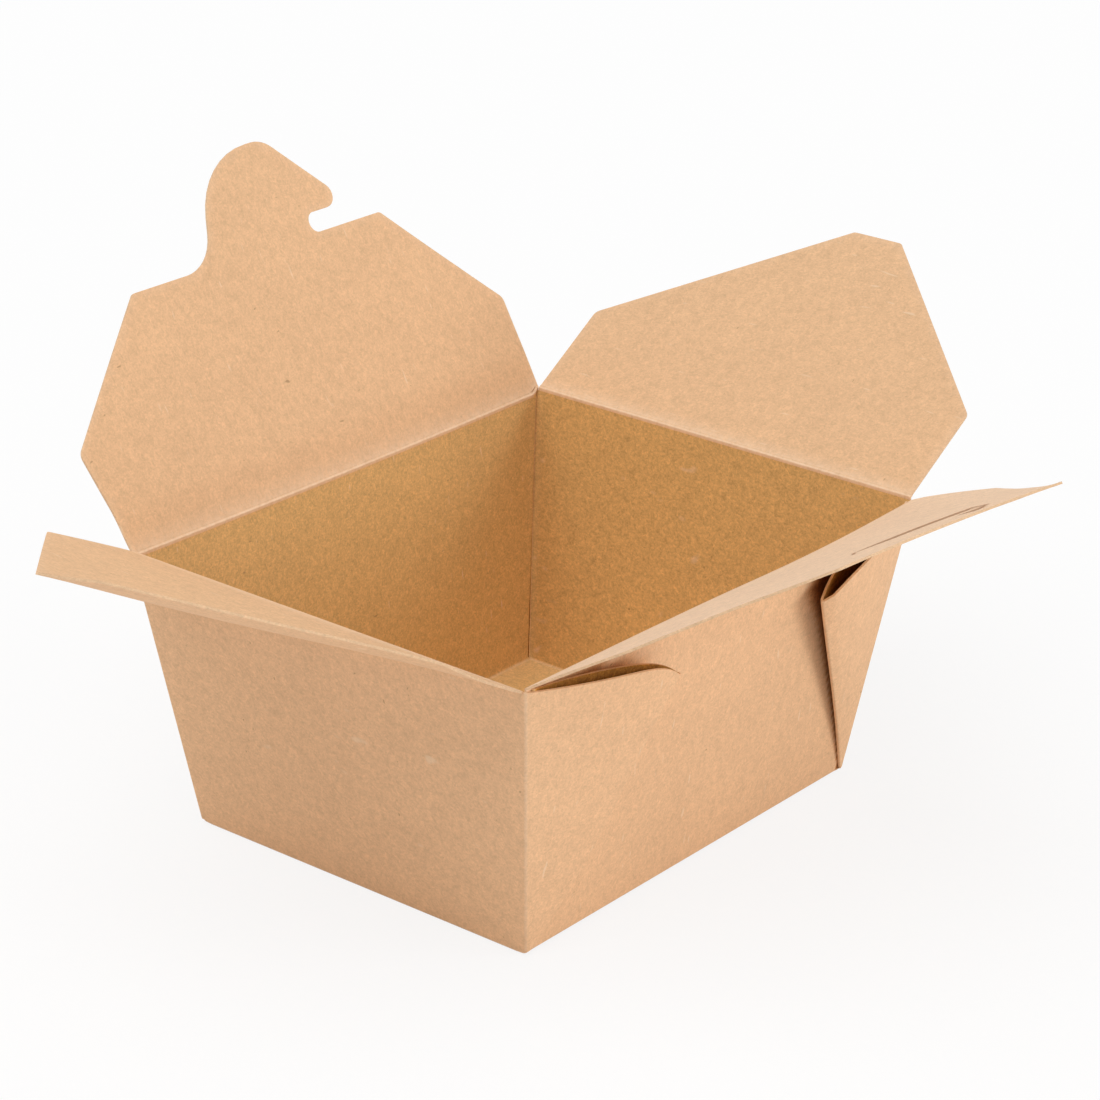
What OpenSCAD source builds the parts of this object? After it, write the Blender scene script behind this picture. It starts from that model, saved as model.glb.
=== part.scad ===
// Folded paperboard takeaway box, open, with its four flaps standing as in use.
// The origin is the centre of the base, on the surface that the box stands on.
// X runs along the long walls and Y along the end walls.

/* [Box] */
// Outside length of the base
base_length = 111; // [98:1:118]
// Outside width of the base
base_width = 89.5; // [80:0.5:96]
// Outside length at the rim
rim_length = 133; // [126:1:146]
// Outside width at the rim
rim_width = 105; // [99:1:116]
// Height of the end walls' creases above the base
box_height = 64; // [54:1:80]
// Thickness of the board
board = 0.5; // [0.4:0.05:0.6]
// Outside radius of the folds between walls and base
fold_radius = 1.2; // [0.9:0.1:1.8]

/* [Corner webs] */
// Length of the web's folded edge, from base corner to tip, at the near end
near_web_edge = 65; // [58:0.5:70]
// Length of the web's folded edge, from base corner to tip, at the far end
far_web_edge = 60.5; // [54:0.5:66]
// Angle at which a near web stands off its long wall
near_web_stand_off = 11.5; // [9:0.5:16]
// Angle at which a far web stands off its long wall
far_web_stand_off = 8.5; // [7:0.5:14]
// How far the top edge of the web's outer layer bows outwards
web_outer_bow = 2.2; // [1.6:0.1:2.6]
// How far the top edge of the web's inner layer bows towards the wall
web_inner_bow = 0.9; // [0.7:0.1:1.2]

/* [Creases] */
// Radius of the pressed bead along a wall's top crease
bead_radius = 0.3; // [0.25:0.05:0.4]
// Clearance between a bead and the root edge of its flap
root_clearance = 0.3; // [0.25:0.05:0.5]
// Height by which the long walls' creases stand above the end walls' creases
crease_step = 0.8; // [0.7:0.1:1.5]

/* [Tongue flap] */
// Depth of the flap from its crease to its far edge
tongue_flap_depth = 50.7; // [45:0.1:52]
// Depth at which the flap is widest
tongue_shoulder_depth = 22.7; // [15:0.1:30]
// How far each shoulder stands out past the rim
tongue_shoulder_out = 1.2; // [0:0.1:1.4]
// Length of the far edge
tongue_far_edge = 77.2; // [70:0.2:90]
// Angle of the flap above level
tongue_flap_angle = 59; // [40:1:80]

/* [Tongue] */
// How far the tongue reaches past the far edge
tongue_reach = 23.7; // [21:0.1:25]
// Where the tongue's sloping flank meets the far edge, left of the middle
tongue_left = 15.2; // [12:0.1:20]
// Slope of the flank, from the far edge
tongue_flank_angle = 68; // [60:1:80]
// Where the notch ends, right of the middle
notch_end = 17.4; // [15:0.1:20]
// Width of the notch under the hook
notch_width = 4.6; // [4:0.1:5.5]
// How far the hook's sharp corner would lie right of the notch's end
hook_reach = 15.2; // [13:0.1:18]
// Corner radius of the hook's tip
hook_radius = 2.8; // [2:0.1:3.4]
// Corner radius between the hook's slope and the tongue's top
crown_radius = 8; // [5:0.5:10]
// Corner radius between the tongue's top and its flank
brow_radius = 20; // [12:0.5:20]
// Corner radius between the flank and the far edge
flank_radius = 11; // [6:0.5:12]

/* [Slot flap] */
// Depth of the flap from its crease to its far edge
slot_flap_depth = 58.5; // [54:0.5:62]
// Depth at which the flap's sides turn inwards
slot_shoulder_depth = 25.3; // [18:0.1:32]
// How far each shoulder lies inside the rim
slot_shoulder_in = 4; // [1:0.1:8]
// Length of the straight part of the sides beside the crease
slot_relief = 3; // [1:0.1:5]
// Length of the far edge
slot_far_edge = 74.4; // [70:0.2:90]
// Angle of the flap above level
slot_flap_angle = 28.5; // [15:0.5:45]
// Depth of the slit from the crease
slit_depth = 43; // [38:0.5:46]
// Width of the slit
slit_width = 0.8; // [0.6:0.1:1.4]
// Play of the tongue in the slit, at each end
slit_play = 0.6; // [0.4:0.1:1.5]
// Width of the tab between the slit and its short return cut
slit_tab = 3.5; // [3:0.1:5]
// Run of the slit's slanted start
slit_slant = 5.2; // [3:0.1:8]
// Length of the return cut
return_cut = 9; // [6:0.5:14]

/* [End flaps] */
// Depth at which an end flap is widest
end_shoulder_depth = 25.6; // [18:0.1:32]
// Length of an end flap's tip edge
end_tip_edge = 13.4; // [10:0.2:20]
// Sideways offset of the tip from the middle
end_tip_offset = 3.4; // [0:0.2:5]
// Clearance between an end flap and the long walls, at each side
end_side_clearance = 0.4; // [0.3:0.05:0.8]
// Gap between the two tips when both end flaps are closed
end_tip_gap = 0.8; // [0.4:0.1:2]
// Angle of the near end flap above level
near_flap_angle = 24.5; // [10:0.5:45]
// Angle of the far end flap above level
far_flap_angle = 31.5; // [10:0.5:45]

/* [Finish] */
// Corner radius of the flaps' shoulders
shoulder_radius = 2.5; // [1:0.1:4]
// Corner radius of the flaps' far corners
far_corner_radius = 1.6; // [0.8:0.1:3]

/* [Hidden] */

kraft = [0.80, 0.62, 0.43];
kraft_light = [0.86, 0.69, 0.51];
fold_facets = 32;
corner_steps = 6;
cutter = 40;
// Share of a notch's width that rounds its blind end.
full_round = 0.48;
// Lowest ring of a faceted sphere, as a share of its radius.
lowest_ring = cos(180 / fold_facets);
// Beads end this far short of the corner folds.
bead_end = 0.6;
// The web's layers are drawn in this many strips, from this share of their height.
web_steps = 12;
web_start = 0.04;
// The web is sunk this deep in the corner fold and starts this far along it.
web_sink = 0.05;
web_inset = 0.3;
// The pocket between the layers starts at this share of the height, and stays these
// shares of the web's width clear of the corner fold and of the folded edge.
pocket_start = 0.3;
pocket_side = 0.03;

// The creases lie in the middle of the board, at the top of each wall.
long_crease_z = box_height + crease_step;
end_crease_x = rim_length / 2 - board / 2;
long_crease_y = outer_half_width(long_crease_z) - board / 2;
root = bead_radius + root_clearance;
end_lean = atan((rim_length - base_length) / 2 / box_height);
long_lean = atan((rim_width - base_width) / 2 / box_height);
end_flap_depth = end_crease_x - end_tip_gap / 2;
end_half_width = rim_width / 2 - board - end_side_clearance;

// Half the outside width and length of the tapered box at height z.
function outer_half_width(z) = base_width / 2 + (rim_width - base_width) / 2 * z / box_height;
function outer_half_length(z) = base_length / 2 + (rim_length - base_length) / 2 * z / box_height;

// Axis of the corner fold at height z: it keeps one fold radius from both walls.
function post(z) = [
    outer_half_length(z) - fold_radius / cos(end_lean),
    outer_half_width(z) - fold_radius / cos(long_lean),
    z
];

function unit(v) = v / norm(v);
function heading(v) = atan2(v[1], v[0]);
function signed_turn(a) = a > 180 ? a - 360 : a < -180 ? a + 360 : a;

// Arc that rounds the corner q between p and s, where q[2] is its radius.
function round_corner(p, q, s) =
    let (
        corner = [q[0], q[1]],
        back = unit([p[0], p[1]] - corner),
        ahead = unit([s[0], s[1]] - corner),
        half = acos(back * ahead) / 2,
        centre = corner + unit(back + ahead) * q[2] / sin(half),
        first = heading(corner + back * q[2] / tan(half) - centre),
        turn = signed_turn(heading(corner + ahead * q[2] / tan(half) - centre) - first)
    )
    [for (i = [0:corner_steps]) centre + q[2] * [cos(first + turn * i / corner_steps),
                                                sin(first + turn * i / corner_steps)]];

// Outline with every corner [x, y, radius] rounded.
function rounded(points) =
    let (n = len(points))
    [for (i = [0:n - 1])
        each points[i][2] == 0
            ? [[points[i][0], points[i][1]]]
            : round_corner(points[(i + n - 1) % n], points[i], points[(i + 1) % n])];

// The wall between two stacked surfaces of points, each given as rows of equal length.
function skin_points(top, bottom) = [each for (row = top) row, each for (row = bottom) row];
function skin_faces(rows, cols) =
    let (
        n = rows * cols,
        at = function (i, j) i * cols + j
    )
    concat(
        [for (i = [0:rows - 2], j = [0:cols - 2])
            [at(i, j), at(i + 1, j), at(i + 1, j + 1), at(i, j + 1)]],
        [for (i = [0:rows - 2], j = [0:cols - 2])
            [n + at(i, j), n + at(i, j + 1), n + at(i + 1, j + 1), n + at(i + 1, j)]],
        [for (i = [0:rows - 2]) [at(i, 0), n + at(i, 0), n + at(i + 1, 0), at(i + 1, 0)]],
        [for (i = [0:rows - 2])
            [at(i, cols - 1), at(i + 1, cols - 1), n + at(i + 1, cols - 1), n + at(i, cols - 1)]],
        [for (j = [0:cols - 2]) [at(0, j), at(0, j + 1), n + at(0, j + 1), n + at(0, j)]],
        [for (j = [0:cols - 2])
            [at(rows - 1, j), n + at(rows - 1, j), n + at(rows - 1, j + 1), at(rows - 1, j + 1)]]
    );

// A flap's crease, its direction and its lift above level, for what is drawn
// with the crease along X and the flap towards +Y.
module on_crease(place, direction, angle) {
    translate(place)
        rotate([0, 0, direction])
            rotate([angle, 0, 0])
                linear_extrude(board, center = true)
                    children();
}

// Rounded box between the corner folds, drawn inset from the outside faces.
module tapered_box(inset) {
    hull()
        for (sx = [-1, 1], sy = [-1, 1], z = [fold_radius * lowest_ring, box_height + cutter]) {
            p = post(z);
            translate([sx * p[0], sy * p[1], p[2]])
                sphere(r = fold_radius - inset, $fn = fold_facets);
        }
}

// Base and walls in one folded sheet. The end walls stop at their creases, and the long
// walls rise past them by the crease step.
module tray() {
    difference() {
        tapered_box(0);
        tapered_box(board);
        translate([0, 0, long_crease_z + cutter])
            cube([3 * rim_length, 3 * rim_width, 2 * cutter], center = true);
        for (sx = [-1, 1])
            translate([sx * rim_length / 2, 0, box_height + cutter])
                cube([2 * fold_radius + bead_end, 2 * rim_width, 2 * cutter], center = true);
    }
}

module crease_beads() {
    for (sy = [-1, 1])
        translate([0, sy * long_crease_y, long_crease_z])
            rotate([0, 90, 0])
                cylinder(h = rim_length - 2 * (fold_radius + bead_end), r = bead_radius,
                         center = true, $fn = fold_facets);
    for (sx = [-1, 1])
        translate([sx * end_crease_x, 0, box_height])
            rotate([90, 0, 0])
                cylinder(h = rim_width - 2 * (fold_radius + bead_end), r = bead_radius,
                         center = true, $fn = fold_facets);
}

// Point of a web, at share s of the way from the corner fold to the folded edge and
// share r of the way from the base corner up, and h out of its middle plane.
function on_web(low, high, tip, out, s, r, h) = low + r * (high + (tip - high) * s - low) + out * h;

// Half the thickness of the web: its two layers bow apart and meet at the folded edge.
function web_half(s, r, bow) = board / 2 * (1 + s) + 4 * bow * r * s * (1 - s);

// Share of the width at which the pocket is wide enough to be drawn.
function pocket_from(r) = board / (8 * min(web_outer_bow, web_inner_bow) * r) + pocket_side;

// The folded web between its base corner, the top of the corner fold and its tip.
module folded_web(low, high, tip, out) {
    edge_way = unit(cross(out, tip - low));
    shares = [for (i = [0:web_steps]) i / web_steps];
    turns = [30, 60];
    function face(r, side, bow) = concat(
        [for (s = shares) on_web(low, high, tip, out, s, r, side * web_half(s, r, bow))],
        [for (a = turns) on_web(low, high, tip, out, 1, r, side * board * cos(a)) + edge_way * board * sin(a)]);
    function hollow(r, side, bow) = [for (i = shares)
        let (s = pocket_from(r) * (1 - i) + (1 - pocket_side) * i)
        on_web(low, high, tip, out, s, r, side * (web_half(s, r, bow) - board))];
    heights = [web_start, 1];
    pocket_heights = [pocket_start, 1 + pocket_side];
    difference() {
        polyhedron(
            points = skin_points([for (r = heights) face(r, 1, web_outer_bow)],
                                 [for (r = heights) face(r, -1, web_inner_bow)]),
            faces = skin_faces(2, len(shares) + len(turns))
        );
        polyhedron(
            points = skin_points([for (r = pocket_heights) hollow(r, 1, web_outer_bow)],
                                 [for (r = pocket_heights) hollow(r, -1, web_inner_bow)]),
            faces = skin_faces(2, len(shares))
        );
    }
}

// The web at the far right corner. It is drawn from the corner fold, on the long wall
// at +Y, and lies outside that wall. The folded edge halves its blank.
module web(web_edge, stand_off) {
    end_corner = 90 + atan((rim_width - base_width) / 2 * cos(end_lean) / box_height);
    long_corner = 90 + atan((rim_length - base_length) / 2 * cos(long_lean) / box_height);
    half_web = (270 - end_corner - long_corner) / 2;
    along = unit(post(box_height) - post(0));
    wall_out = [0, cos(long_lean), -sin(long_lean)];
    wall_way = cross(along, wall_out);
    way = cos(stand_off) * wall_way + sin(stand_off) * wall_out;
    out = cos(stand_off) * wall_out - sin(stand_off) * wall_way;
    seat = out * (fold_radius - board / 2 - web_sink) + way * web_inset;
    low = post(fold_radius) + seat;
    high = post(box_height - board) + seat;
    tip = low + web_edge * (cos(half_web) * along + sin(half_web) * way);
    folded_web(low, high, tip, out);
}

module box_body() {
    color(kraft)
        union() {
            tray();
            crease_beads();
            for (sy = [0, 1])
                mirror([0, sy, 0]) {
                    web(far_web_edge, far_web_stand_off);
                    mirror([1, 0, 0])
                        web(near_web_edge, near_web_stand_off);
                }
        }
}

// Flap with the tongue: corners are [x, y, radius], from the root's right end round to its left.
module tongue_flap_outline() {
    half_root = end_crease_x - root_clearance;
    half_wide = rim_length / 2 + tongue_shoulder_out;
    top = tongue_flap_depth + tongue_reach;
    flank_run = tongue_reach / tan(tongue_flank_angle);
    hook_x = notch_end + hook_reach;
    hook_y = tongue_flap_depth + notch_width;
    polygon(rounded([
        [half_root, root, 0],
        [half_wide, tongue_shoulder_depth, shoulder_radius],
        [tongue_far_edge / 2, tongue_flap_depth, far_corner_radius],
        [notch_end, tongue_flap_depth, notch_width * full_round],
        [notch_end, hook_y, notch_width * full_round],
        [hook_x, hook_y, hook_radius],
        [hook_x - (top - hook_y), top, crown_radius],
        [flank_run - tongue_left, top, brow_radius],
        [-tongue_left, tongue_flap_depth, flank_radius],
        [-tongue_far_edge / 2, tongue_flap_depth, far_corner_radius],
        [-half_wide, tongue_shoulder_depth, shoulder_radius],
        [-half_root, root, 0]
    ]));
}

module tongue_flap() {
    color(kraft_light)
        on_crease([0, long_crease_y, long_crease_z], 0, tongue_flap_angle)
            tongue_flap_outline();
}

// Outline of a cut of that width along a path of points.
function normal(p, q) = let (d = unit(q - p)) [-d[1], d[0]];
function mitre(path, i) =
    let (
        last = len(path) - 1,
        before = normal(path[max(i - 1, 0)], path[max(i, 1)]),
        after = normal(path[min(i, last - 1)], path[min(i + 1, last)])
    )
    (before + after) / (1 + before * after);
function cut_outline(path, width) =
    concat(
        [for (i = [0:len(path) - 1]) path[i] + mitre(path, i) * width / 2],
        [for (i = [len(path) - 1:-1:0]) path[i] - mitre(path, i) * width / 2]
    );

// The slit takes the tongue: it starts where the closed tongue's flank passes and
// ends at the hook's tip, where it turns back round a short tab. This flap is seen
// from the other side of the box, so the tongue's left is at +X.
module slit() {
    start = tongue_left + slit_play;
    finish = -(notch_end + hook_reach - hook_radius - slit_play);
    outer = slit_depth + slit_tab;
    polygon(cut_outline([
        [start, slit_depth + slit_tab / 2],
        [start - slit_slant, slit_depth],
        [finish, slit_depth],
        [finish, outer],
        [finish + return_cut, outer]
    ], slit_width));
}

module slot_flap_outline() {
    half_root = end_crease_x - root_clearance;
    half_wide = rim_length / 2 - slot_shoulder_in;
    difference() {
        polygon(rounded([
            [half_root, root, 0],
            [half_root, root + slot_relief, 0],
            [half_wide, slot_shoulder_depth, shoulder_radius],
            [slot_far_edge / 2, slot_flap_depth, far_corner_radius],
            [-slot_far_edge / 2, slot_flap_depth, far_corner_radius],
            [-half_wide, slot_shoulder_depth, shoulder_radius],
            [-half_root, root + slot_relief, 0],
            [-half_root, root, 0]
        ]));
        slit();
    }
}

module slot_flap() {
    color(kraft_light)
        on_crease([0, -long_crease_y, long_crease_z], 180, slot_flap_angle)
            slot_flap_outline();
}

// Both end flaps are the same blank, turned half round.
module end_flap_outline() {
    half_root = end_half_width - fold_radius / 2;
    polygon(rounded([
        [half_root, root, 0],
        [end_half_width, end_shoulder_depth, shoulder_radius],
        [end_tip_offset + end_tip_edge / 2, end_flap_depth, far_corner_radius],
        [end_tip_offset - end_tip_edge / 2, end_flap_depth, far_corner_radius],
        [-end_half_width, end_shoulder_depth, shoulder_radius],
        [-half_root, root, 0]
    ]));
}

module near_end_flap() {
    color(kraft_light)
        on_crease([-end_crease_x, 0, box_height], 90, near_flap_angle)
            end_flap_outline();
}

module far_end_flap() {
    color(kraft_light)
        on_crease([end_crease_x, 0, box_height], -90, far_flap_angle)
            end_flap_outline();
}

box_body();
tongue_flap();
slot_flap();
near_end_flap();
far_end_flap();
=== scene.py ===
import math

import bpy
import numpy as np
from mathutils import Matrix, Vector
from mathutils.geometry import delaunay_2d_cdt


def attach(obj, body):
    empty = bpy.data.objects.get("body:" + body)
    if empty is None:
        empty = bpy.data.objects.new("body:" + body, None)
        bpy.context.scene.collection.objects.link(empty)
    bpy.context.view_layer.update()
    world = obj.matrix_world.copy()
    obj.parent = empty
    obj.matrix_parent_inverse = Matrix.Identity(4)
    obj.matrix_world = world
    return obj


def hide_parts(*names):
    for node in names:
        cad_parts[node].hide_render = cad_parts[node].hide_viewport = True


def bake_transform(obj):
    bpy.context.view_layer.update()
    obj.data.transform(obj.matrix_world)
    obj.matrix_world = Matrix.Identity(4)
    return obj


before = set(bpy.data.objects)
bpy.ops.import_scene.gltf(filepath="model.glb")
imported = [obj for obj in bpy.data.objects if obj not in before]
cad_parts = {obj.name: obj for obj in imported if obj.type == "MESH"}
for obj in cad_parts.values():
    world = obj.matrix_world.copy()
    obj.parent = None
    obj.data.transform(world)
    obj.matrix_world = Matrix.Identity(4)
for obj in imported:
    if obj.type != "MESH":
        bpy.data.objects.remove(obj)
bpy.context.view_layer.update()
print("frame in:", ", ".join(sorted(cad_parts)))

# Lengths are in millimetres until a mesh is written, and angles in degrees.
sheet = {
    "board": 0.5, "foldRadius": 0.95, "creaseHalf": 0.6, "creaseBead": 0.16,
    "sideRadius": 2.5, "cornerRadius": 1.6, "rootInset": 0.1,
    "meshStep": 2.2, "keepOff": 0.45, "sharpAngle": 38,
}
box = {
    "baseLength": 111.0, "baseWidth": 89.5, "rimLength": 133.0, "rimWidth": 105.0,
    "height": 64.0, "creaseStep": 0.8, "lowFold": 1.2,
    "longHalf": 67, "endHalf": 52.5,  # units along the creases, for the formulas of the flaps' bends
}
# How far each kind of rubbing pales the board, and over what distance it fades
rub = {
    "corner": 0.5, "webFold": 0.3, "seam": 0.6, "baseFold": 0.55, "baseEnds": 0.2,
    "edge": 0.2, "edgeRun": 0.5, "edgeStep": 0.8, "root": 0.45, "rootRun": 1.6,
    "creaseLeast": 0.25, "creaseMore": 0.75, "creaseRun": 0.28,
}
creaseX = box["rimLength"] / 2 - sheet["board"] / 2
creaseZ = box["height"] + box["creaseStep"]
creaseWidth = box["baseWidth"] + (box["rimWidth"] - box["baseWidth"]) * creaseZ / box["height"]
creaseY = creaseWidth / 2 - sheet["board"] / 2


def unit(v):
    v = np.asarray(v, float)
    return v / np.linalg.norm(v, axis=-1, keepdims=True)


# Camera at the photograph's place
shot = {
    "azimuth": -51.461, "elevation": 22.738, "roll": 1.064, "distance": 789.9,
    "target": (36.318, 23.954, 40.026), "focalPixels": 3501.1, "framePixels": 1100, "sensor": 36.0,
    "nearest": 0.05, "farthest": 50,
}


def placeCamera(shot):
    a, e, t = (math.radians(shot[k]) for k in ("azimuth", "elevation", "roll"))
    back = Vector((math.sin(a) * math.cos(e), -math.cos(a) * math.cos(e), math.sin(e)))
    level = Vector((math.cos(a), math.sin(a), 0))
    upright = back.cross(level)
    right = math.cos(t) * level + math.sin(t) * upright
    up = math.cos(t) * upright - math.sin(t) * level
    data = bpy.data.cameras.new("photoCamera")
    data.sensor_width = shot["sensor"]
    data.lens = shot["focalPixels"] / shot["framePixels"] * shot["sensor"]
    data.clip_start, data.clip_end = shot["nearest"], shot["farthest"]
    camera = bpy.data.objects.new("photoCamera", data)
    place = (Vector(shot["target"]) + back * shot["distance"]) / 1000
    camera.matrix_world = Matrix.Translation(place) @ Matrix((right, up, back)).transposed().to_4x4()
    bpy.context.scene.collection.objects.link(camera)
    bpy.context.scene.camera = camera


placeCamera(shot)
print("camera placed")

# Kraft board finish, with painted light and painted shade in some of its colours and marks
kraft = {
    # the outer face's colour is a little brighter than the inner's: painted light, as from below on the outer
    # walls
    "inner": (0.765, 0.485, 0.275), "outer": (0.800, 0.500, 0.285),
    # the two inside colours are copies of the inner colour: darker and yellower for the walls' inside, painted
    # shade; paler for the slot flap's inside, painted light
    "shadedWallInside": (0.735, 0.465, 0.190), "litSlotInside": (0.850, 0.610, 0.420),
    # the slit colour, with slitMost and slitMark, is painted shadow along the slot flap's cut
    "cut": (0.750, 0.500, 0.300), "crease": (0.90, 0.66, 0.46), "slit": (0.60, 0.39, 0.25),
    "strand": (0.90, 0.68, 0.47), "speck": (0.34, 0.19, 0.09),
    "strandMost": 0.5, "speckMost": 0.6, "slitMost": 0.92, "slitMark": (0.7, 0.97), "patchLeast": 0.5,
    # shadeGamma and shadeDrop set how far the painted shade darkens and reddens
    "shadeGamma": 2.0, "shadeDrop": 0.75, "roughness": 0.78, "specular": 0.28,
    "blotch": 0.02, "cloud": 0.05, "mottle": 0.075, "fibre": 0.085, "bump": 0.2, "bumpDepth": 0.0001,
    "noiseRoughness": 0.6,
}
# Each noise's cells per metre, detail, stretch, turn and curl, and the part of its range that is used
noises = {
    "blotch": (38, 2), "cloud": (420, 3), "mottle": (1150, 2, (1, 0.7, 0.8), (0.7, 0.3, 0.2), 1.2),
    "fibreA": (2900, 2, (1, 0.45, 0.6), (0.3, 0.2, 0.6)), "fibreB": (3300, 2, (0.45, 1, 0.8), (0.5, -0.4, 0.2)),
    "strand": (900, 1, (1, 0.16, 0.22), (0.9, 0.4, 1.1)), "speck": (950, 1, (0.4, 1, 0.8), (0.1, 1.2, 0.5)),
    "patch": (900, 2),
}
noiseUsed = {
    "blotch": (0.3, 0.7), "cloud": (0.3, 0.7), "mottle": (0.3, 0.7), "fibre": (0.35, 0.65),
    "strand": (0.72, 0.80), "speck": (0.765, 0.82), "patch": (0.35, 0.62),
}


def link(tree, source, target):
    tree.links.new(source, target)


def noiseNode(tree, coords, scale, detail, stretch=(1, 1, 1), turn=(0, 0, 0), curl=0.0):
    # noise on Object coordinates, with scale in cells per metre and the pattern stretched and turned
    mapping = tree.nodes.new("ShaderNodeMapping")
    mapping.inputs["Scale"].default_value = stretch
    mapping.inputs["Rotation"].default_value = turn
    link(tree, coords, mapping.inputs["Vector"])
    noise = tree.nodes.new("ShaderNodeTexNoise")
    noise.inputs["Scale"].default_value = scale
    noise.inputs["Detail"].default_value = detail
    noise.inputs["Roughness"].default_value = kraft["noiseRoughness"]
    noise.inputs["Distortion"].default_value = curl
    link(tree, mapping.outputs["Vector"], noise.inputs["Vector"])
    return noise.outputs["Fac"]


def attributeNode(tree, name):
    # a mark of the mesh, as a number from 0 to 1
    node = tree.nodes.new("ShaderNodeAttribute")
    node.attribute_name = name
    return node.outputs["Fac"]


def rangeNode(tree, value, low, high, toLow, toHigh):
    node = tree.nodes.new("ShaderNodeMapRange")
    node.clamp = True
    for name, v in zip(("From Min", "From Max", "To Min", "To Max"), (low, high, toLow, toHigh)):
        node.inputs[name].default_value = v
    link(tree, value, node.inputs["Value"])
    return node.outputs["Result"]


def mathNode(tree, operation, a, b):
    node = tree.nodes.new("ShaderNodeMath")
    node.operation = operation
    for socket, v in zip(node.inputs, (a, b)):
        if isinstance(v, (int, float)):
            socket.default_value = v
        else:
            link(tree, v, socket)
    return node.outputs["Value"]


def mixColour(tree, factor, a, b, blend="MIX"):
    node = tree.nodes.new("ShaderNodeMix")
    node.data_type = "RGBA"
    node.blend_type = blend
    for socket, v in ((node.inputs[0], factor), (node.inputs[6], a), (node.inputs[7], b)):
        if isinstance(v, (int, float)):
            socket.default_value = v
        elif isinstance(v, tuple):
            socket.default_value = (*v, 1)
        else:
            link(tree, v, socket)
    return node.outputs[2]


def kraftBoard(name, colour, shade, wear=0.0, grain=1.0):
    material = bpy.data.materials.new(name)
    material.use_nodes = True
    tree = material.node_tree
    shader = tree.nodes["Principled BSDF"]
    coords = tree.nodes.new("ShaderNodeTexCoord").outputs["Object"]

    def noiseRange(name, low, high):
        return rangeNode(tree, noiseNode(tree, coords, *noises[name]), *noiseUsed[name], low, high)

    blotch = noiseRange("blotch", 1 - kraft["blotch"], 1 + kraft["blotch"])
    cloud = noiseRange("cloud", 1 - kraft["cloud"], 1 + kraft["cloud"])
    mottle = noiseRange("mottle", 1 - kraft["mottle"] * grain, 1 + kraft["mottle"] * grain)
    fibreA, fibreB = (noiseNode(tree, coords, *noises[name]) for name in ("fibreA", "fibreB"))
    fibres = mathNode(tree, "MULTIPLY", mathNode(tree, "ADD", fibreA, fibreB), 0.5)
    strength = kraft["fibre"] * grain
    fine = rangeNode(tree, fibres, *noiseUsed["fibre"], 1 - strength, 1 + strength)
    coarse = mathNode(tree, "MULTIPLY", blotch, cloud)
    tone = mathNode(tree, "MULTIPLY", coarse, mathNode(tree, "MULTIPLY", mottle, fine))
    toned = mixColour(tree, 1.0, colour, tone, "MULTIPLY")
    # a few long pale fibres and short dark ones, where a stretched fine noise peaks
    for name in ("strand", "speck"):
        toned = mixColour(tree, noiseRange(name, 0, kraft[name + "Most"]), toned, kraft[name])
    if wear:
        worn = attributeNode(tree, "foldWear")
        patchy = mathNode(tree, "MULTIPLY", worn, noiseRange("patch", kraft["patchLeast"], 1))
        amount = mathNode(tree, "MULTIPLY", patchy, wear)
        toned = mixColour(tree, amount, toned, kraft["crease"])
    # painted shadow: the slit's edges, dark where their mark is nearly 1
    slitShadow = rangeNode(tree, attributeNode(tree, "slitShade"), *kraft["slitMark"], 0, kraft["slitMost"])
    toned = mixColour(tree, slitShadow, toned, kraft["slit"])
    # painted shade: darker, redder and less shiny where the shade mark says so, as deep in a folded web
    paintedShade = attributeNode(tree, shade)
    gamma = tree.nodes.new("ShaderNodeGamma")
    link(tree, toned, gamma.inputs["Color"])
    link(tree, rangeNode(tree, paintedShade, 0, 1, 1, 1 + kraft["shadeGamma"]), gamma.inputs["Gamma"])
    drop = rangeNode(tree, paintedShade, 0, 1, 1, 1 - kraft["shadeDrop"])
    toned = mixColour(tree, 1.0, gamma.outputs["Color"], drop, "MULTIPLY")
    link(tree, toned, shader.inputs["Base Color"])
    shader.inputs["Roughness"].default_value = kraft["roughness"]
    link(tree, rangeNode(tree, paintedShade, 0, 1, kraft["specular"], 0), shader.inputs["Specular IOR Level"])
    bump = tree.nodes.new("ShaderNodeBump")
    bump.inputs["Strength"].default_value = kraft["bump"]
    bump.inputs["Distance"].default_value = kraft["bumpDepth"]
    link(tree, fibres, bump.inputs["Height"])
    link(tree, bump.outputs["Normal"], shader.inputs["Normal"])
    return material


# each finish reads one painted shade mark of the mesh, named by its third argument
innerBoard = kraftBoard("innerBoard", kraft["inner"], "pocketShade", wear=1.0)
outerBoard = kraftBoard("outerBoard", kraft["outer"], "wedgeShade", wear=0.7)
# painted shade on the walls' inside and painted light on the slot flap's inside, as copies of the inner board
shadedWallInside = kraftBoard("shadedWallInside", kraft["shadedWallInside"], "pocketShade", wear=0.7, grain=1.7)
litSlotInside = kraftBoard("litSlotInside", kraft["litSlotInside"], "pocketShade", wear=0.7)
cutBoard = kraftBoard("cutBoard", kraft["cut"], "edgeShade")
print("board finishes made")


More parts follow.
